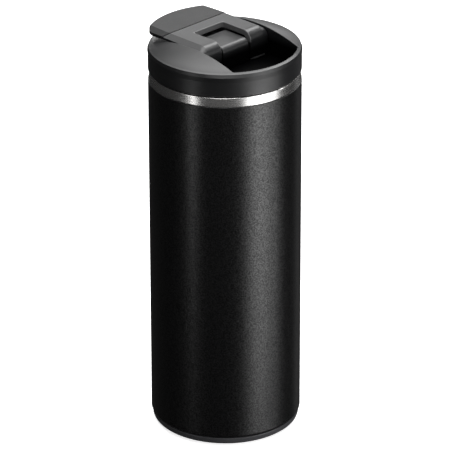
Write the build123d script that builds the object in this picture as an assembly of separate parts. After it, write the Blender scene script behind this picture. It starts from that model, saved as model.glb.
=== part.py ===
from build123d import *
import math
import os

os.makedirs("parts", exist_ok=True)

# Insulated travel mug, millimetres.
# Origin: centre of the foot, on the surface that the mug stands on.  +Z is up,
# -Y is the drinking side, the thumb tab of the lever points to +Y.

# ------------------------------------------------------------------ vessel
BODY_R = 36.5            # outside of the coated wall
SHELL_T = 0.6            # outer wall sheet
SHELL_BOTTOM = 4.85      # lower edge of the coated wall
SHELL_TOP = 179.35       # upper edge of the coated wall
SPIGOT_R = 34.0          # necked-in foot of the outer wall

FOOT_R = 36.05           # foot ring, largest radius
FOOT_FLAT_R = 33.0       # outer edge of the flat that touches the table
FOOT_IN_R = 28.0
FOOT_TOP = 4.35

LINER_R = 31.5           # inside of the cavity
LINER_T = 0.5
LINER_FLOOR = 8.5        # inner floor of the cavity
LAND_R = 33.55           # sealing land for the gasket
NECK_R = 34.6            # neck with the thread
BAND_R = 36.05           # bare mouth band
BAND_TOP = 184.25
LIP_EDGE_R = 0.75

# ------------------------------------------------------------------ thread
LEAD = 12.0              # three starts, 4 mm apart
THREAD_Z = 178.6         # height of each ridge at its middle
RIDGE_IN_R = 33.7
RIDGE_SPAN = 70.0
LUG_R = 34.3
LUG_SPAN = 40.0
FLANK_H = 1.3            # width of a ridge or lug at its root
THREAD_A0 = 20.0         # azimuth of the first ridge's middle

# ------------------------------------------------------------------ lid
LID_R = 36.5
LID_BOTTOM = 184.65
LID_SIDE_TOP = 195.15
BEAD_R = 36.7            # slight bead round the top of the side
BEAD_Z0, BEAD_Z1 = 191.9, 194.2
BREAK_R = 36.12          # the dome ends here, a steep chamfer falls to the bead
LID_WALL = 2.2
DOME_APEX = 203.45
DOME_EDGE_R = 35.6
DOME_EDGE_Z = 195.97
WELL_HALF = 21.6        # half width of the drinking well
WELL_FRONT_R = 34.5      # front wall of the well, concentric with the lid
WELL_BACK = 16.3
WELL_WALL = 2.0
FLOOR_Z = 187.0
FLOOR_T = 1.8
DECK_Z0 = 197.35          # sloped deck under the thumb tab, at WELL_BACK
DECK_SLOPE = (197.6 - 195.9) / (35.5 - 16.3)
DECK_T = 2.0

PLUG_R = 33.3
PLUG_LOW_R = 32.7
PLUG_IN_R = 30.6
PLUG_BOTTOM = 164.5
PLUG_TOP = 185.2
GROOVE_R = 31.9
GROOVE_Z0, GROOVE_Z1 = 166.6, 170.6

PORT_X, PORT_Y = 15.3, -5.83
PORT_L, PORT_W = 8.0, 2.6    # clear opening of each drink port
PORT_TOP = 187.35

# ------------------------------------------------------------------ lever
LEVER_TOP = 201.75
LEVER_T = 2.9            # thickness of the frame
TAB_T = 3.35             # thickness of the thumb tab
LEVER_HALF = 21.15       # half width over the legs
LEVER_HALF_REAR = 20.95   # half width from the seam backwards
TAPER_Y = 6.0            # the sides run in from here to the seam
CREASE_HALF = 18.1      # the flat top ends here, the side bevels begin
SIDE_DROP = 1.86         # fall of a bevel over the half width of the legs
FRONT_Y = -7.65          # front of the legs and of the hinge block
LEG_BACK_Y = -4.0
LEG_BOTTOM = 188.0
BEND_R = 4.9             # bend from the frame down into a leg
BEND_R_EDGE = 3.7        # the same at the outer edge of a bevel
WINDOW_HALF = 9.6
WINDOW_BACK = 11.1
SEAM_Y0, SEAM_Y1 = 18.2, 18.75
SEAM_LEAN = 1.3          # the seam runs back by this much for each mm down
TAB_R = 36.95             # rear outline of the thumb tab, concentric with the lid
TAB_CORNER = 5.5

AXLE_Y, AXLE_Z, AXLE_R = 12.0, 194.5, 1.5
RUNNING = 0.05           # radial clearance of the lever on its axle

BLOCK_HALF = 8.5
BLOCK_TOP = 198.9
BLOCK_BACK = 8.1
BLOCK_R = 3.3

SPRING_Y = 24.0
SPRING_R = 2.6
SPRING_WIRE = 0.35
TAB_UNDER_Z = LEVER_TOP - TAB_T


# ------------------------------------------------------------------ helpers
def outline(points, place):
    """Closed face through 2-D points; a point (x, y, r) is rounded with radius r."""
    n = len(points)
    corners = []
    for i, p in enumerate(points):
        x, y = p[0], p[1]
        r = p[2] if len(p) > 2 else 0.0
        if r <= 0:
            corners.append(((x, y), None, (x, y)))
            continue
        ax, ay = points[i - 1][0] - x, points[i - 1][1] - y
        bx, by = points[(i + 1) % n][0] - x, points[(i + 1) % n][1] - y
        la, lb = math.hypot(ax, ay), math.hypot(bx, by)
        ax, ay, bx, by = ax / la, ay / la, bx / lb, by / lb
        half = math.acos(max(-1.0, min(1.0, ax * bx + ay * by))) / 2
        t = r / math.tan(half)
        mx, my = ax + bx, ay + by
        lm = math.hypot(mx, my)
        d = r / math.sin(half) - r
        corners.append(((x + ax * t, y + ay * t),
                        (x + mx / lm * d, y + my / lm * d),
                        (x + bx * t, y + by * t)))
    edges = []
    for i in range(n):
        a, m, b = corners[i]
        if m is not None:
            edges.append(Edge.make_three_point_arc(place(*a), place(*m), place(*b)))
        c = corners[(i + 1) % n][0]
        if math.hypot(c[0] - b[0], c[1] - b[1]) > 1e-6:
            edges.append(Edge.make_line(place(*b), place(*c)))
    return Face(Wire(edges))


def rz(x, y):
    return Vector(x, 0, y)


def yz(x, y):
    return Vector(0, x, y)


def turned(points):
    """Solid of revolution about Z from an outline of (radius, height)."""
    return revolve(outline(points, rz), axis=Axis.Z)


def bar(points, x0, x1):
    """Outline in Y and Z, extruded along X from x0 to x1."""
    return Pos(x0, 0, 0) * extrude(outline(points, yz), amount=x1 - x0, dir=(1, 0, 0))


def slab(points, z0, z1):
    """Outline in X and Y, extruded along Z from z0 to z1."""
    return extrude(outline(points, lambda x, y: Vector(x, y, z0)), amount=z1 - z0, dir=(0, 0, 1))


def block(x0, x1, y0, y1, z0, z1):
    return Pos((x0 + x1) / 2, (y0 + y1) / 2, (z0 + z1) / 2) * Box(x1 - x0, y1 - y0, z1 - z0)


def rod(r, z0, z1, x=0.0, y=0.0):
    return Pos(x, y, (z0 + z1) / 2) * Cylinder(r, z1 - z0)


def cross_rod(r, x0, x1, y, z):
    return Pos((x0 + x1) / 2, y, z) * Rot(0, 90, 0) * Cylinder(r, x1 - x0)


def obround(length, width, z0, z1, x, y):
    """Long round-ended prism, its length along X."""
    r = width / 2
    h = length / 2 - r
    body = block(x - h, x + h, y - r, y + r, z0, z1)
    return body + rod(r, z0, z1, x - h, y) + rod(r, z0, z1, x + h, y)


def thread_piece(root_r, crest_r, span, z, azimuth):
    """Short ridge in a plane tilted to the lead angle, so that it climbs with the
    right-hand thread as its azimuth grows."""
    tilt = math.degrees(math.atan(LEAD / (2 * math.pi) / ((root_r + crest_r) / 2)))
    h = FLANK_H / 2
    c = h * 0.55
    face = outline([(root_r, -h), (crest_r, -c), (crest_r, c), (root_r, h)], rz)
    ring = revolve(face, axis=Axis.Z, revolution_arc=span)
    return Pos(0, 0, z) * Rot(0, 0, azimuth) * Rot(tilt, 0, 0) * Rot(0, 0, -span / 2) * ring


def one_solid(shape, name):
    solids = shape.solids()
    if len(solids) != 1:
        print("note:", name, "has", len(solids), "solids")
    return shape


def soften(shape, edges, radii, name):
    """Round the given edges with the first radius that the shape takes."""
    for r in radii:
        try:
            out = fillet(edges, r)
            if out.is_valid and out.volume > 0.5 * shape.volume:
                return out
        except Exception:
            pass
    print("note: edges left sharp on", name)
    return shape


PARTS = {}

# ------------------------------------------------------------------ mug body
# Outer wall: straight coated tube with a necked-in spigot that carries the foot ring.
PARTS["outer_shell"] = turned([
    (BODY_R, SHELL_BOTTOM, 0.9), (BODY_R, SHELL_TOP, 0.22), (BODY_R - SHELL_T, SHELL_TOP, 0.12),
    (BODY_R - SHELL_T, SHELL_BOTTOM + SHELL_T), (SPIGOT_R - SHELL_T, SHELL_BOTTOM + SHELL_T, 0.5),
    (SPIGOT_R - SHELL_T, 1.6), (SPIGOT_R, 1.6), (SPIGOT_R, SHELL_BOTTOM)])

# Foot ring: moulded ring pushed on the spigot, with the lower edge rounded under.
PARTS["foot_ring"] = turned([
    (FOOT_IN_R, 0.0, 0.3), (FOOT_FLAT_R, 0.0, 1.2), (FOOT_R - 0.45, 1.45, 1.6), (FOOT_R, FOOT_TOP, 0.35),
    (SPIGOT_R + 0.02, FOOT_TOP), (SPIGOT_R + 0.02, 1.25), (FOOT_IN_R, 1.25, 0.3)])

# Bottom pan of the outer wall, with the evacuation hole at its centre.
PARTS["outer_base"] = turned([
    (1.0, 2.9), (26.0, 2.9, 1.5), (27.0, 1.6, 0.6), (SPIGOT_R - SHELL_T, 1.6), (SPIGOT_R - SHELL_T, 3.4),
    (SPIGOT_R - SHELL_T - 0.5, 3.4), (SPIGOT_R - SHELL_T - 0.5, 2.1), (27.4, 2.1, 0.6), (26.4, 3.4, 1.5),
    (1.0, 3.4)])

# Solder button that closes the evacuation hole.
PARTS["vacuum_seal"] = turned([
    (0, 2.3), (2.2, 2.3, 0.3), (2.2, 2.9), (0.98, 2.9), (0.98, 3.6), (0, 3.6)])

# Getter pill, fixed under the liner inside the vacuum space.
PARTS["getter"] = rod(6.0, LINER_FLOOR - LINER_T - 2.0, LINER_FLOOR - LINER_T, 12.0, 6.0)

# Liner: cavity, sealing land, threaded neck, and the mouth turned out and down over
# the outer wall's top edge as a bare band with a rounded top.
o = LINER_T
liner = turned([
    (0, LINER_FLOOR), (LINER_R, LINER_FLOOR, 6.0), (LINER_R, 159.5, 4.0), (LAND_R, 163.5, 2.0),
    (LAND_R, 171.5, 1.0), (NECK_R, 173.2, 1.0), (NECK_R, BAND_TOP, LIP_EDGE_R * 0.8),
    (BAND_R, BAND_TOP, LIP_EDGE_R),
    (BAND_R, SHELL_TOP + 0.12, 0.1), (BODY_R - SHELL_T - 0.04, SHELL_TOP + 0.02),
    (BODY_R - SHELL_T - 0.04, 177.6), (BODY_R - SHELL_T - 0.55, 177.6), (BODY_R - SHELL_T - 0.55, 182.4),
    (NECK_R + o, 182.4), (NECK_R + o, 173.0, 1.0), (LAND_R + o, 171.3, 1.0), (LAND_R + o, 163.3, 2.0),
    (LINER_R + o, 159.3, 4.0), (LINER_R + o, LINER_FLOOR - o, 6.5), (0, LINER_FLOOR - o)])
for k in range(3):
    liner += thread_piece(NECK_R + 0.2, RIDGE_IN_R, RIDGE_SPAN, THREAD_Z, THREAD_A0 + 120 * k)
PARTS["inner_liner"] = liner

# ------------------------------------------------------------------ lid gasket
# Silicone ring with two lips, in the groove of the plug.
PARTS["lid_gasket"] = turned([
    (GROOVE_R + 0.06, GROOVE_Z0 + 0.08), (LAND_R - 0.55, GROOVE_Z0 + 0.08, 0.2),
    (LAND_R - 0.1, GROOVE_Z0 + 0.75, 0.2), (LAND_R - 0.1, GROOVE_Z0 + 1.15, 0.15),
    (LAND_R - 0.6, GROOVE_Z0 + 1.7, 0.15), (LAND_R - 0.6, GROOVE_Z0 + 2.1, 0.15),
    (LAND_R - 0.1, GROOVE_Z0 + 2.75, 0.2), (LAND_R - 0.1, GROOVE_Z0 + 3.15, 0.15),
    (LAND_R - 0.6, GROOVE_Z1 - 0.08, 0.15), (GROOVE_R + 0.06, GROOVE_Z1 - 0.08)])

# ------------------------------------------------------------------ lid shell
dome_mid_r = 18.0
dome_c = ((DOME_APEX ** 2 - DOME_EDGE_Z ** 2 - DOME_EDGE_R ** 2) / (2 * (DOME_APEX - DOME_EDGE_Z)))
dome_rad = DOME_APEX - dome_c


def dome_z(r, inset=0.0):
    return dome_c + math.sqrt((dome_rad - inset) ** 2 - r * r)


def domed(outer_r, bottom, side_top, edge_r, inset, chamfer):
    """Solid of revolution with a spherical top."""
    edge_z = dome_z(edge_r, inset)
    pts = [(0, bottom), (outer_r - chamfer, bottom), (outer_r, bottom + chamfer), (outer_r, side_top)]
    edges = [Edge.make_line(rz(*pts[i]), rz(*pts[i + 1])) for i in range(3) if pts[i] != pts[i + 1]]
    s = math.sqrt(0.5)
    w, h = outer_r - edge_r, edge_z - side_top
    edges.append(Edge.make_three_point_arc(rz(outer_r, side_top), rz(edge_r + w * s, side_top + h * s),
                                           rz(edge_r, edge_z)))
    edges.append(Edge.make_three_point_arc(rz(edge_r, edge_z), rz(edge_r / 2, dome_z(edge_r / 2, inset)),
                                           rz(0, dome_z(0, inset))))
    edges.append(Edge.make_line(rz(0, dome_z(0, inset)), rz(0, bottom)))
    return revolve(Face(Wire(edges)), axis=Axis.Z)


def dome_outside():
    """The lid's outer form: straight side, slight bead, steep chamfer, spherical top."""
    pts = [(0, LID_BOTTOM), (LID_R - 0.35, LID_BOTTOM), (LID_R, LID_BOTTOM + 0.35), (LID_R, BEAD_Z0),
           (BEAD_R, BEAD_Z1), (BREAK_R, dome_z(BREAK_R, 0.0))]
    edges = [Edge.make_line(rz(*a), rz(*b)) for a, b in zip(pts, pts[1:])]
    edges.append(Edge.make_three_point_arc(rz(BREAK_R, dome_z(BREAK_R, 0.0)),
                                           rz(BREAK_R / 2, dome_z(BREAK_R / 2, 0.0)), rz(0, dome_z(0, 0.0))))
    edges.append(Edge.make_line(rz(0, dome_z(0, 0.0)), rz(0, LID_BOTTOM)))
    return revolve(Face(Wire(edges)), axis=Axis.Z)


outer_form = dome_outside()
inner_form = domed(LID_R - LID_WALL, LID_BOTTOM - 1, LID_SIDE_TOP - 1.6, DOME_EDGE_R - LID_WALL, 2.2, 0.0)


def deck_z(y):
    return DECK_Z0 - DECK_SLOPE * (y - WELL_BACK)


def deck_region(half, y0, y1, drop, top=None):
    """Prism under (top None) or over the sloped deck plane, lowered by drop."""
    if top is None:
        pts = [(y0, FLOOR_Z - 40), (y1, FLOOR_Z - 40), (y1, deck_z(y1) - drop), (y0, deck_z(y0) - drop)]
    else:
        pts = [(y0, deck_z(y0) - drop), (y1, deck_z(y1) - drop), (y1, top), (y0, top)]
    return bar(pts, -half, half)


lid = outer_form - inner_form
fill_half = WELL_HALF + WELL_WALL
# walls and floor around the well
lid += outer_form & block(-fill_half, fill_half, -40, WELL_BACK + WELL_WALL, FLOOR_Z - FLOOR_T, 210)
# sloped deck behind the well, with its side walls
deck_slab = deck_region(fill_half, WELL_BACK, 40, 0.0, 210) + (
    deck_region(fill_half, WELL_BACK, 40, DECK_T, 210))
lid += outer_form & deck_slab
# cup for the return spring, hanging from the deck
lid += rod(SPRING_R + SPRING_WIRE + 1.9, 186.8, deck_z(SPRING_Y) - 0.8, 0, SPRING_Y)
# the well itself
well = block(-WELL_HALF, WELL_HALF, -40, WELL_BACK, FLOOR_Z, 210) & rod(WELL_FRONT_R, FLOOR_Z, 210)
well_edges = [e for e in well.edges().filter_by(Axis.Z) if e.center().Y < -20]
well = fillet(well_edges, 1.2)
lid -= well
lid -= deck_region(WELL_HALF, WELL_BACK - 0.5, 40, 0.0, 210)
lid -= rod(SPRING_R + SPRING_WIRE + 0.7, 188.0, 200, 0, SPRING_Y)
# openings of the floor: drink ports and the hinge block's two pegs
for s in (-1, 1):
    lid -= obround(PORT_L + 2.5, PORT_W + 2.5, FLOOR_Z - 5, FLOOR_Z + 1, s * PORT_X, PORT_Y)
for y in (-3.0, 11.5):
    lid -= rod(2.03, FLOOR_Z - 5, FLOOR_Z + 1, 0, y)
# soft upper edge of the well and of the deck recess
rim_edges = []
for e in lid.edges():
    c = e.center()
    b = e.bounding_box()
    if b.min.Z > 194.0 and abs(math.hypot(c.X, c.Y)) < 35.5 and e.length > 3 and c.Y < WELL_BACK:
        p0, p1 = e.position_at(0), e.position_at(1)
        side = all(abs(abs(p.X) - WELL_HALF) < 0.01 for p in (p0, p1, e.position_at(0.5)))
        front = all(abs(math.hypot(p.X, p.Y) - WELL_FRONT_R) < 0.05 for p in (p0, p1, e.position_at(0.5)))
        if side or front:
            rim_edges.append(e)
print("rim edges", len(rim_edges))
PARTS["lid_shell"] = soften(lid, rim_edges, (0.25, 0.2), "lid_shell") if rim_edges else lid

# ------------------------------------------------------------------ lid plug
plug = turned([
    (0, PLUG_BOTTOM), (PLUG_LOW_R, PLUG_BOTTOM, 0.8), (PLUG_LOW_R, GROOVE_Z0), (GROOVE_R, GROOVE_Z0),
    (GROOVE_R, GROOVE_Z1), (PLUG_LOW_R, GROOVE_Z1), (PLUG_LOW_R, 172.0), (PLUG_R, 173.4),
    (PLUG_R, 183.4), (LID_R - LID_WALL - 0.06, 183.9), (LID_R - LID_WALL - 0.06, PLUG_TOP),
    (PLUG_IN_R, PLUG_TOP), (PLUG_IN_R, PLUG_BOTTOM + 2.0), (0, PLUG_BOTTOM + 2.0)])
for s in (-1, 1):
    plug += obround(PORT_L + 2.4, PORT_W + 2.4, PLUG_BOTTOM, PORT_TOP, s * PORT_X, PORT_Y)
    plug -= obround(PORT_L, PORT_W, PLUG_BOTTOM - 1, PORT_TOP + 1, s * PORT_X, PORT_Y)
plug -= rod(1.5, PLUG_BOTTOM - 1, PLUG_BOTTOM + 3, 0, 6.0)
for k in range(3):
    plug += thread_piece(PLUG_R - 0.4, LUG_R, LUG_SPAN, THREAD_Z - 2.0, THREAD_A0 + 120 * k)
PARTS["lid_plug"] = plug

# Silicone air valve, buttoned into the bottom of the plug.
PARTS["vent_valve"] = turned([
    (0, PLUG_BOTTOM - 1.0), (2.6, PLUG_BOTTOM - 0.6, 0.2), (2.6, PLUG_BOTTOM), (1.46, PLUG_BOTTOM),
    (1.46, PLUG_BOTTOM + 2.0), (2.4, PLUG_BOTTOM + 2.0), (1.6, PLUG_BOTTOM + 3.0), (0, PLUG_BOTTOM + 3.0)])
PARTS["vent_valve"] = Pos(0, 6.0, 0) * PARTS["vent_valve"]

# ------------------------------------------------------------------ hinge block
hb = bar([
    (FRONT_Y, FLOOR_Z), (FRONT_Y, BLOCK_TOP, BLOCK_R), (BLOCK_BACK, BLOCK_TOP, 0.4), (BLOCK_BACK, 197.0, 0.4),
    (15.0, 197.0, 2.2), (15.0, FLOOR_Z)], -BLOCK_HALF, BLOCK_HALF)
cheek = [e for e in hb.edges() if abs(abs(e.center().X) - BLOCK_HALF) < 0.001 and e.center().Z > FLOOR_Z + 0.5
         and e.center().Y < BLOCK_BACK - 0.3]
hb = soften(hb, cheek, (0.6, 0.45, 0.3), "hinge_block cheeks")
hb -= block(-BLOCK_HALF + 1.8, BLOCK_HALF - 1.8, FRONT_Y + 1.8, 6.3, FLOOR_Z + 1.6, BLOCK_TOP - 1.8)
for y in (-3.0, 11.5):
    hb += rod(2.0, FLOOR_Z - 2.6, FLOOR_Z + 0.5, 0, y)
hb -= cross_rod(AXLE_R + 0.01, -20, 20, AXLE_Y, AXLE_Z)
PARTS["hinge_block"] = hb

# Steel axle, fixed in the block; the lever's two ears turn on its ends.
axle = cross_rod(AXLE_R, -16.6, 16.6, AXLE_Y, AXLE_Z)
PARTS["lever_axle"] = chamfer(axle.edges().filter_by(GeomType.CIRCLE), 0.25)

# Compression spring under the thumb tab.
SPR_Z0, SPR_Z1 = 188.35, TAB_UNDER_Z - 0.4
turns = 5
helix = Helix(pitch=(SPR_Z1 - SPR_Z0) / turns, height=SPR_Z1 - SPR_Z0, radius=SPRING_R)
start = helix @ 0
section = Plane(origin=start, z_dir=helix % 0) * Circle(SPRING_WIRE)
spring = sweep(section, path=helix)
PARTS["return_spring"] = Pos(0, SPRING_Y, SPR_Z0) * spring

# ------------------------------------------------------------------ lever frame
FRAME_UNDER = LEVER_TOP - LEVER_T
TAB_UNDER = TAB_UNDER_Z
TONGUE_TOP = LEVER_TOP - 1.95
TONGUE_HALF = 16.0
TONGUE_END = 31.0


def seam_y(y, z):
    """Y of a leaning seam face at height z, when it meets the flat top at y."""
    return y + SEAM_LEAN * (LEVER_TOP - z)


def facet(shape, side, y0, x0, y1, x1, slope):
    """Plane off one side: the cut starts on the flat top at (x0, y0)-(x1, y1) and falls outwards."""
    a = Vector(side * x0, y0, LEVER_TOP)
    b = Vector(side * x1, y1, LEVER_TOP)
    c = Vector(side * (x0 + 1.0), y0, LEVER_TOP - slope)
    n = (b - a).cross(c - a)
    if n.Z < 0:
        n = n * -1
    cutter = Plane(origin=a, z_dir=n) * (Pos(0, 0, 25) * Box(140, 140, 50))
    return shape - (cutter & block(min(0, side * 60), max(0, side * 60), -60, 60, 150, 250))


def frame_side(x, top, bend):
    """Outline of the frame at X = x, as a wire for a ruled loft."""
    pts = [(FRONT_Y, LEG_BOTTOM, 0.6), (FRONT_Y, top, bend), (34.0, top), (34.0, FRAME_UNDER),
           (LEG_BACK_Y, FRAME_UNDER, 1.2), (LEG_BACK_Y, LEG_BOTTOM, 0.6)]
    return outline(pts, lambda y, z: Vector(x, y, z)).outer_wire()


BEVEL = SIDE_DROP / (LEVER_HALF - CREASE_HALF)
lever = bar([
    (FRONT_Y, LEG_BOTTOM, 0.6), (FRONT_Y, LEVER_TOP, BEND_R), (SEAM_Y0, LEVER_TOP, 0.12),
    (seam_y(SEAM_Y0, TONGUE_TOP), TONGUE_TOP), (TONGUE_END, TONGUE_TOP), (TONGUE_END, TAB_UNDER),
    (SEAM_Y0 - 0.9, TAB_UNDER), (SEAM_Y0 - 1.6, FRAME_UNDER), (LEG_BACK_Y, FRAME_UNDER, 1.2),
    (LEG_BACK_Y, LEG_BOTTOM, 0.6)], -CREASE_HALF, CREASE_HALF)
for s in (-1, 1):
    # bevelled side: the top falls outwards and the bend gets tighter
    ends = [frame_side(s * CREASE_HALF, LEVER_TOP, BEND_R),
            frame_side(s * LEVER_HALF, LEVER_TOP - SIDE_DROP, BEND_R_EDGE)]
    if s < 0:
        ends.reverse()
    lever += Solid.make_loft(ends, ruled=True)
    # the tongue that carries the thumb tab is narrower than the frame
    x0, x1 = sorted((s * TONGUE_HALF, s * 30))
    lever -= bar([(seam_y(SEAM_Y0, 204), 204), (45, 204), (45, 190), (seam_y(SEAM_Y0, 190), 190)], x0, x1)
# plan outline of the frame, running in slightly towards the seam
lever &= slab([
    (-LEVER_HALF, FRONT_Y - 1), (LEVER_HALF, FRONT_Y - 1), (LEVER_HALF, TAPER_Y),
    (LEVER_HALF_REAR, SEAM_Y0), (LEVER_HALF_REAR, 40), (-LEVER_HALF_REAR, 40), (-LEVER_HALF_REAR, SEAM_Y0),
    (-LEVER_HALF, TAPER_Y)], 180, 210)
window = slab([(-WINDOW_HALF, -12), (-WINDOW_HALF, WINDOW_BACK, 1.3), (WINDOW_HALF, WINDOW_BACK, 1.3),
               (WINDOW_HALF, -12)], 180, 210)
lever -= window
# soft edges round the window and down the inner sides of the legs
inner = []
for e in lever.edges():
    m = e.position_at(0.5)
    on_side = abs(abs(m.X) - WINDOW_HALF) < 0.001
    if e.geom_type == GeomType.LINE and m.Z > LEVER_TOP - 0.001 and (
            on_side or (abs(m.Y - WINDOW_BACK) < 0.001 and abs(m.X) < WINDOW_HALF)):
        inner.append(e)
    elif e.geom_type == GeomType.CIRCLE and m.Z > LEVER_TOP - 0.001 and abs(m.X) < WINDOW_HALF and m.Y > 8:
        inner.append(e)
    elif on_side and m.Y < FRONT_Y + BEND_R - 0.05 and abs(m.Y - LEG_BACK_Y) > 0.01 and m.Z > LEG_BOTTOM + 0.7 and (
            m.Y < FRONT_Y + 0.001 or m.Z > FRAME_UNDER):
        inner.append(e)
lever = soften(lever, inner, (0.35, 0.25, 0.15), "lever_frame window")
# ears under the frame that turn on the axle
for s in (-1, 1):
    x0, x1 = sorted((s * 10.2, s * 16.0))
    lever += block(x0, x1, AXLE_Y - 3.2, AXLE_Y + 3.2, AXLE_Z, FRAME_UNDER + 0.3)
    lever += cross_rod(3.2, x0, x1, AXLE_Y, AXLE_Z)
lever -= cross_rod(AXLE_R + RUNNING, -19, 19, AXLE_Y, AXLE_Z)
lever += rod(1.8, 196.6, TAB_UNDER + 0.3, 0, SPRING_Y)
for s in (-1, 1):
    lever -= rod(1.0, LEG_BOTTOM - 1, LEG_BOTTOM + 3.0, s * PORT_X, PORT_Y)
PARTS["lever_frame"] = lever

# ------------------------------------------------------------------ thumb tab
tab = block(-LEVER_HALF_REAR, LEVER_HALF_REAR, SEAM_Y1, 40, TAB_UNDER, LEVER_TOP) & rod(TAB_R, 190, 210)
corner = [e for e in tab.edges().filter_by(Axis.Z) if e.center().Y > SEAM_Y1 + 1]
tab = fillet(corner, TAB_CORNER)
for s in (-1, 1):
    tab = facet(tab, s, SEAM_Y1, CREASE_HALF, 31.0, CREASE_HALF - 0.5, BEVEL * 0.81)
# rounded rear rim above, small round below
rear = [e for e in tab.edges() if e.center().Y > 28 and e.bounding_box().min.Z > LEVER_TOP - 0.01]
tab = soften(tab, rear, (0.35, 0.25), "thumb_tab rear rim")
low = [e for e in tab.edges() if e.bounding_box().max.Z < TAB_UNDER + 0.01 and e.center().Y > SEAM_Y1 + 0.5]
tab = soften(tab, low, (0.6, 0.4, 0.3), "thumb_tab lower edge")
# leaning front face, parallel to the end of the frame
tab &= bar([(seam_y(SEAM_Y1, 204), 204), (45, 204), (45, 190), (seam_y(SEAM_Y1, 190), 190)], -40, 40)
# pocket for the tongue
tab -= block(-TONGUE_HALF - 0.02, TONGUE_HALF + 0.02, SEAM_Y1 - 1, TONGUE_END + 0.02, 190, TONGUE_TOP)
PARTS["thumb_tab"] = tab

# ------------------------------------------------------------------ stoppers
for s, side in ((-1, "left"), (1, "right")):
    st = obround(9.6, 3.4, LEG_BOTTOM - 0.55, LEG_BOTTOM, s * PORT_X, PORT_Y)
    st += obround(7.2, 1.8, LEG_BOTTOM - 1.4, LEG_BOTTOM - 0.5, s * PORT_X, PORT_Y)
    st += rod(0.98, LEG_BOTTOM - 0.3, LEG_BOTTOM + 2.9, s * PORT_X, PORT_Y)
    PARTS["stopper_" + side] = st

for name, shape in PARTS.items():
    one_solid(shape, name)
    export_step(shape, "parts/%s.step" % name)
print("parts written:", len(PARTS))
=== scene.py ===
import math

import bpy
from mathutils import Matrix, Vector

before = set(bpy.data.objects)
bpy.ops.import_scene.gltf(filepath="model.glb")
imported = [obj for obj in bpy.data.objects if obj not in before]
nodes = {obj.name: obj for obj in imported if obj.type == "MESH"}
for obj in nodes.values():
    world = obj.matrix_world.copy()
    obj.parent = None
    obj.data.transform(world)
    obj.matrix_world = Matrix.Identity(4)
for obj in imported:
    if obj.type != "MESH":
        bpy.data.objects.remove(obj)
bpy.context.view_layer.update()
scene = bpy.context.scene


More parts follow.
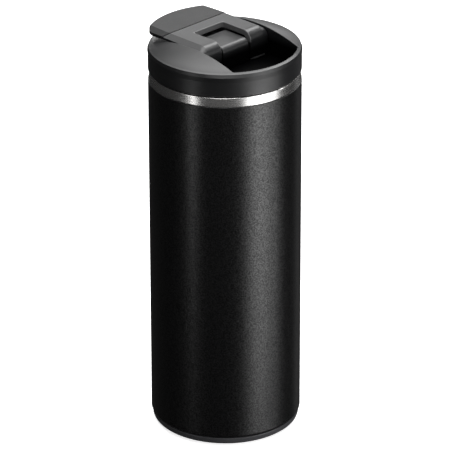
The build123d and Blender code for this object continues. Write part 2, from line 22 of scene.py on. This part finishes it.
# ---------------------------------------------------------------- materials
class Mat:
    """A procedural material: helpers that add nodes to one tree."""

    def __init__(self, name):
        self.m = bpy.data.materials.new(name)
        self.m.use_nodes = True
        self.t = self.m.node_tree
        self.t.nodes.clear()
        self.out = self.t.nodes.new("ShaderNodeOutputMaterial")
        self.p = self.t.nodes.new("ShaderNodeBsdfPrincipled")
        self.t.links.new(self.p.outputs[0], self.out.inputs[0])
        self.co = self.t.nodes.new("ShaderNodeTexCoord").outputs["Object"]

    def n(self, kind, **values):
        node = self.t.nodes.new(kind)
        for k, v in values.items():
            setattr(node, k, v)
        return node

    def link(self, a, b):
        self.t.links.new(a, b)

    def set(self, **values):
        for k, v in values.items():
            s = self.p.inputs[k.replace("_", " ")]
            s.default_value = v

    def scaled(self, x, y, z, source=None):
        node = self.n("ShaderNodeMapping")
        node.inputs["Scale"].default_value = (x, y, z)
        self.link(source or self.co, node.inputs["Vector"])
        return node.outputs[0]

    def noise(self, scale, detail=3.0, rough=0.5, vector=None, distortion=0.0):
        node = self.n("ShaderNodeTexNoise")
        node.inputs["Scale"].default_value = scale
        node.inputs["Detail"].default_value = detail
        node.inputs["Roughness"].default_value = rough
        node.inputs["Distortion"].default_value = distortion
        self.link(vector or self.co, node.inputs["Vector"])
        return node.outputs["Fac"]

    def cells(self, scale, feature="F1", vector=None, randomness=1.0):
        node = self.n("ShaderNodeTexVoronoi", feature=feature)
        node.inputs["Scale"].default_value = scale
        node.inputs["Randomness"].default_value = randomness
        self.link(vector or self.co, node.inputs["Vector"])
        return node.outputs["Distance"]

    def math(self, op, a, b=0.0, clamp=False):
        node = self.n("ShaderNodeMath", operation=op, use_clamp=clamp)
        for i, v in enumerate((a, b)):
            if isinstance(v, (int, float)):
                node.inputs[i].default_value = v
            else:
                self.link(v, node.inputs[i])
        return node.outputs[0]

    def span(self, value, lo, hi, out_lo, out_hi, smooth=False):
        node = self.n("ShaderNodeMapRange", clamp=True)
        if smooth:
            node.interpolation_type = "SMOOTHSTEP"
        for k, v in (("From Min", lo), ("From Max", hi), ("To Min", out_lo), ("To Max", out_hi)):
            node.inputs[k].default_value = v
        self.link(value, node.inputs["Value"])
        return node.outputs["Result"]

    def mix(self, fac, a, b):
        node = self.n("ShaderNodeMix", data_type="RGBA")
        if isinstance(fac, (int, float)):
            node.inputs[0].default_value = fac
        else:
            self.link(fac, node.inputs[0])
        for i, v in ((6, a), (7, b)):
            if isinstance(v, tuple):
                node.inputs[i].default_value = (*v, 1.0)
            else:
                self.link(v, node.inputs[i])
        return node.outputs[2]

    def bump(self, height, strength, distance, under=None):
        node = self.n("ShaderNodeBump")
        node.inputs["Strength"].default_value = strength
        node.inputs["Distance"].default_value = distance
        self.link(height, node.inputs["Height"])
        if under is not None:
            self.link(under, node.inputs["Normal"])
        return node.outputs[0]

    def color(self, c):
        if isinstance(c, tuple):
            self.p.inputs["Base Color"].default_value = (*c, 1.0)
        else:
            self.link(c, self.p.inputs["Base Color"])

    def normal(self, v):
        self.link(v, self.p.inputs["Normal"])

    def rough(self, v):
        if isinstance(v, (int, float)):
            self.p.inputs["Roughness"].default_value = v
        else:
            self.link(v, self.p.inputs["Roughness"])

    def polar(self):
        """Coordinates wrapped round the Z axis: (angle, height, radius)."""
        sep = self.n("ShaderNodeSeparateXYZ")
        self.link(self.co, sep.inputs[0])
        ang = self.math("ARCTAN2", sep.outputs[1], sep.outputs[0])
        xx = self.math("MULTIPLY", sep.outputs[0], sep.outputs[0])
        yy = self.math("MULTIPLY", sep.outputs[1], sep.outputs[1])
        rad = self.math("SQRT", self.math("ADD", xx, yy))
        return sep, ang, rad


def powder_coat():
    m = Mat("powder_coat")
    grain = m.noise(2300.0, 2.0, 0.55)
    coarse = m.noise(620.0, 2.0, 0.5)
    fleck = m.cells(1500.0)
    speck = m.span(fleck, 0.05, 0.30, 1.0, 0.0, smooth=True)
    tone = m.span(grain, 0.30, 0.72, 0.0, 1.0)
    base = m.mix(tone, (0.0004, 0.0004, 0.0005), (0.0018, 0.0018, 0.0020))
    base = m.mix(m.math("MULTIPLY", speck, 0.60), base, (0.018, 0.018, 0.019))
    m.color(base)
    m.rough(m.span(coarse, 0.3, 0.7, 0.28, 0.35))
    mottle = m.noise(1500.0, 1.0, 0.5)
    m.link(m.span(mottle, 0.34, 0.66, 0.30, 0.70), m.p.inputs["Specular IOR Level"])
    b = m.bump(coarse, 0.14, 0.00016)
    b = m.bump(grain, 0.45, 0.00007, b)
    m.normal(b)
    return m.m


def brushed(name, tint, rough_lo, rough_hi, streak=0.35):
    """Steel turned and brushed round the Z axis."""
    m = Mat(name)
    sep, ang, rad = m.polar()
    comb = m.n("ShaderNodeCombineXYZ")
    m.link(m.math("MULTIPLY", ang, 0.9), comb.inputs[0])
    m.link(m.math("MULTIPLY", sep.outputs[2], 5200.0), comb.inputs[1])
    m.link(m.math("MULTIPLY", rad, 5200.0), comb.inputs[2])
    lines = m.noise(1.0, 3.0, 0.6, vector=comb.outputs[0])
    comb2 = m.n("ShaderNodeCombineXYZ")
    m.link(m.math("MULTIPLY", ang, 4.0), comb2.inputs[0])
    m.link(m.math("MULTIPLY", sep.outputs[2], 1500.0), comb2.inputs[1])
    m.link(m.math("MULTIPLY", rad, 1500.0), comb2.inputs[2])
    wide = m.noise(1.0, 2.0, 0.5, vector=comb2.outputs[0])
    dark = tuple(c * (1 - streak * 0.5) for c in tint)
    m.color(m.mix(m.span(wide, 0.3, 0.7, 0.0, 1.0), dark, tint))
    m.rough(m.span(lines, 0.3, 0.7, rough_lo, rough_hi))
    m.set(Metallic=1.0)
    m.p.inputs["Anisotropic"].default_value = 0.25
    tan = m.n("ShaderNodeTangent", direction_type="RADIAL", axis="Z")
    m.link(tan.outputs[0], m.p.inputs["Tangent"])
    m.normal(m.bump(lines, 0.12, 0.00002))
    return m.m


def moulded(name, lo, hi, rough_lo, rough_hi, texture=0.3, scale=3000.0, spec=0.5, painted_shade_below=None, painted_wall_light=None):
    """Injection-moulded plastic with a fine spark-eroded texture and slight mottling.

    The shade argument (low z, high z, radius) paints shade: below the low height and inside that radius the
    colour is painted near black and the specular level lowered, and the grey face fades in between the two
    heights."""
    m = Mat(name)
    fine = m.noise(scale, 2.0, 0.6)
    flow = m.noise(55.0, 2.0, 0.5, distortion=0.6)
    pits = m.cells(scale * 0.55)
    base = m.mix(m.span(flow, 0.3, 0.7, 0.0, 1.0), lo, hi)
    base = m.mix(m.span(fine, 0.35, 0.7, 0.0, 0.35), base, tuple(c * 1.45 for c in hi))
    m.set(**{"Specular IOR Level": spec})
    if painted_shade_below is not None:
        # painted shade: faces low in the well are painted near black with a lowered specular level
        sep, ang, rad = m.polar()
        unshaded_face = m.span(sep.outputs[2], painted_shade_below[0], painted_shade_below[1], 0.0, 1.0, smooth=True)
        unshaded_face = m.math("MAXIMUM", unshaded_face, m.span(rad, painted_shade_below[2], painted_shade_below[2] + 0.0006, 0.0, 1.0))
        base = m.mix(unshaded_face, (0.0006, 0.0006, 0.0007), base)
        m.link(m.span(unshaded_face, 0.0, 1.0, 0.04, spec), m.p.inputs["Specular IOR Level"])
    if painted_wall_light is not None:
        # wall light argument (half width, back, low z): painted light, the cut faces inside the window opening
        # are painted a paler grey
        sep2 = m.n("ShaderNodeSeparateXYZ")
        m.link(m.co, sep2.inputs[0])
        lit_wall_mask = m.span(m.math("ABSOLUTE", sep2.outputs[0]), painted_wall_light[0], painted_wall_light[0] + 0.00025, 1.0, 0.0)
        lit_wall_mask = m.math("MULTIPLY", lit_wall_mask, m.span(sep2.outputs[1], painted_wall_light[1], painted_wall_light[1] + 0.00025, 1.0, 0.0))
        lit_wall_mask = m.math("MULTIPLY", lit_wall_mask, m.span(sep2.outputs[2], painted_wall_light[2], painted_wall_light[2] + 0.001, 0.0, 1.0))
        # painted light: paler grey on the window's inner walls
        base = m.mix(lit_wall_mask, base, (0.085, 0.085, 0.086))
    m.color(base)
    m.rough(m.math("ADD", m.span(flow, 0.3, 0.7, rough_lo, rough_hi), m.span(fine, 0.3, 0.7, -0.03, 0.03)))
    b = m.bump(pits, texture * 0.6, 0.00005)
    b = m.bump(fine, texture, 0.00004, b)
    m.normal(b)
    return m.m


def silicone():
    m = Mat("silicone")
    fine = m.noise(1800.0, 2.0, 0.5)
    dust = m.noise(240.0, 3.0, 0.6)
    m.color(m.mix(m.span(dust, 0.35, 0.7, 0.0, 1.0), (0.020, 0.020, 0.021), (0.034, 0.034, 0.035)))
    m.rough(m.span(dust, 0.3, 0.7, 0.55, 0.68))
    m.set(**{"Sheen Weight": 0.08, "Sheen Roughness": 0.5})
    m.normal(m.bump(fine, 0.15, 0.00004))
    return m.m


def dull_metal(name, a, b, rough):
    m = Mat(name)
    g = m.noise(900.0, 3.0, 0.6)
    m.color(m.mix(m.span(g, 0.3, 0.7, 0.0, 1.0), a, b))
    m.rough(m.span(g, 0.3, 0.7, rough - 0.08, rough + 0.08))
    m.set(Metallic=1.0)
    m.normal(m.bump(g, 0.3, 0.00006))
    return m.m


MATS = {
    "outer_shell": powder_coat(),
    "inner_liner": brushed("liner_steel", (0.72, 0.71, 0.70), 0.21, 0.29, 0.15),
    "outer_base": brushed("base_steel", (0.60, 0.59, 0.58), 0.26, 0.38),
    "foot_ring": moulded("foot_plastic", (0.030, 0.030, 0.033), (0.040, 0.040, 0.043), 0.42, 0.52, 0.35),
    # lid, block, frame and plug: painted shade darkens their faces low in the lid's well
    "lid_shell": moulded("lid_plastic", (0.0042, 0.0043, 0.0047), (0.0060, 0.0061, 0.0066), 0.34, 0.40, 0.30,
                         painted_shade_below=(0.1935, 0.1975, 0.0346)),
    "hinge_block": moulded("block_plastic", (0.0042, 0.0043, 0.0047), (0.0060, 0.0061, 0.0066), 0.36, 0.42, 0.30,
                           painted_shade_below=(0.1925, 0.1975, 0.0360)),
    # frame: painted light makes its window's inner walls paler
    "lever_frame": moulded("lever_plastic", (0.0050, 0.0052, 0.0057), (0.0072, 0.0074, 0.0080), 0.34, 0.40, 0.26,
                           painted_shade_below=(0.1915, 0.1968, 0.0400), painted_wall_light=(0.0098, 0.0113, 0.1960)),
    "thumb_tab": moulded("tab_plastic", (0.0030, 0.0030, 0.0033), (0.0044, 0.0044, 0.0048), 0.40, 0.48, 0.34, spec=0.25),
    "lid_plug": moulded("plug_plastic", (0.010, 0.010, 0.011), (0.014, 0.014, 0.015), 0.38, 0.46, 0.25,
                        painted_shade_below=(0.1985, 0.1990, 0.0300)),
    "lid_gasket": silicone(),
    "vent_valve": silicone(),
    "stopper_left": silicone(),
    "stopper_right": silicone(),
    "lever_axle": dull_metal("pin_steel", (0.5, 0.5, 0.5), (0.62, 0.62, 0.62), 0.3),
    "return_spring": dull_metal("spring_steel", (0.45, 0.45, 0.46), (0.58, 0.58, 0.58), 0.32),
    "vacuum_seal": dull_metal("solder", (0.45, 0.45, 0.46), (0.6, 0.6, 0.6), 0.5),
    "getter": dull_metal("sinter", (0.12, 0.12, 0.12), (0.2, 0.2, 0.2), 0.7),
}
for name, obj in nodes.items():
    mat = MATS[name]
    if not obj.material_slots:
        obj.data.materials.append(mat)
    for s in obj.material_slots:
        s.material = mat

# ---------------------------------------------------------------- camera
cam_data = bpy.data.cameras.new("camera")
cam_data.lens = 306.17
cam_data.shift_x = -0.0006
cam_data.sensor_width = 36.0
cam_data.clip_start = 0.05
cam_data.clip_end = 20.0
cam = bpy.data.objects.new("camera", cam_data)
cam.location = (-1.1783, -1.1783, 0.8939)
cam.rotation_euler = (Matrix.Rotation(math.radians(-45.0), 3, "Z") @ Matrix.Rotation(math.radians(64.576), 3, "X")
                      @ Matrix.Rotation(math.radians(-0.14), 3, "Z")).to_euler()
scene.collection.objects.link(cam)
scene.camera = cam


# ---------------------------------------------------------------- studio
def panel(name, azimuth, elevation, distance, width, height, strength, aim=(0.0, 0.0, 0.15)):
    """Soft box seen from the mug at an azimuth (degrees, counter-clockwise from +X) and an elevation."""
    light = bpy.data.lights.new(name, "AREA")
    light.shape = "RECTANGLE"
    light.size, light.size_y = width, height
    light.energy = math.pi * width * height * strength
    o = bpy.data.objects.new(name, light)
    a, e = math.radians(azimuth), math.radians(elevation)
    step = Vector((math.cos(e) * math.cos(a), math.cos(e) * math.sin(a), math.sin(e))) * distance
    o.location = Vector(aim) + step
    if elevation > 89:
        o.rotation_euler = (0.0, 0.0, a)
    else:
        o.rotation_euler = (-step).to_track_quat("-Z", "Y").to_euler()
    o.visible_camera = False
    scene.collection.objects.link(o)
    return o


# the camera stands at azimuth 225; picture right is towards 315
panel("right_a", 261, -3, 0.90, 0.20, 1.00, 1.6)
panel("right_b", 273, -3, 0.90, 0.20, 1.00, 4.5)
panel("right_c", 286, -3, 0.90, 0.20, 1.00, 3.9)
panel("right_d", 302, -3, 0.90, 0.24, 1.00, 1.9)
panel("right_edge", 5, -12, 0.90, 0.25, 1.00, 0.14)
panel("rear", 52, -3, 0.90, 0.10, 0.90, 1.6)
panel("left", 177, 0, 0.90, 0.13, 0.80, 3.4)
panel("front", 225, -12, 1.20, 1.00, 0.65, 0.06)
panel("front_low", 225, 24, 1.20, 0.90, 0.26, 4.8)
panel("top", 45, 90, 0.90, 0.70, 0.70, 5.8)
panel("back_high", 45, 62, 1.00, 0.60, 0.45, 3.5)
panel("back_mid", 45, 38, 1.00, 0.60, 0.30, 1.35)
panel("back_low", 45, 15, 1.00, 0.60, 0.25, 2.5)
panel("back_left", 95, 50, 1.00, 0.45, 0.45, 2.9)
panel("back_right", 12, 48, 1.00, 0.40, 0.40, 8.6)
panel("back_right_low", 2, 20, 1.00, 0.40, 0.30, 3.1)
panel("right_high", 315, 55, 1.00, 0.45, 0.45, 3.6)

world = bpy.data.worlds.new("studio")
scene.world = world
world.use_nodes = True
bg = world.node_tree.nodes["Background"]
bg.inputs[0].default_value = (1, 1, 1, 1)
bg.inputs[1].default_value = 0.028

floor_mesh = bpy.data.meshes.new("floor")
floor_mesh.from_pydata([(-6, -6, 0), (6, -6, 0), (6, 6, 0), (-6, 6, 0)], [], [(0, 1, 2, 3)])
floor = bpy.data.objects.new("floor", floor_mesh)
scene.collection.objects.link(floor)
floor.location = (0, 0, -0.0002)
fm = bpy.data.materials.new("floor")
fm.use_nodes = True
fp = fm.node_tree.nodes["Principled BSDF"]
fp.inputs["Base Color"].default_value = (0.9, 0.9, 0.9, 1)
fp.inputs["Roughness"].default_value = 0.9
fp.inputs["Specular IOR Level"].default_value = 0.0
fp.inputs["Emission Color"].default_value = (1, 1, 1, 1)
fp.inputs["Emission Strength"].default_value = 0.72
floor_mesh.materials.append(fm)
floor.visible_glossy = False
floor.visible_diffuse = False
floor.visible_shadow = False

scene.view_settings.view_transform = "Standard"
scene.view_settings.look = "None"
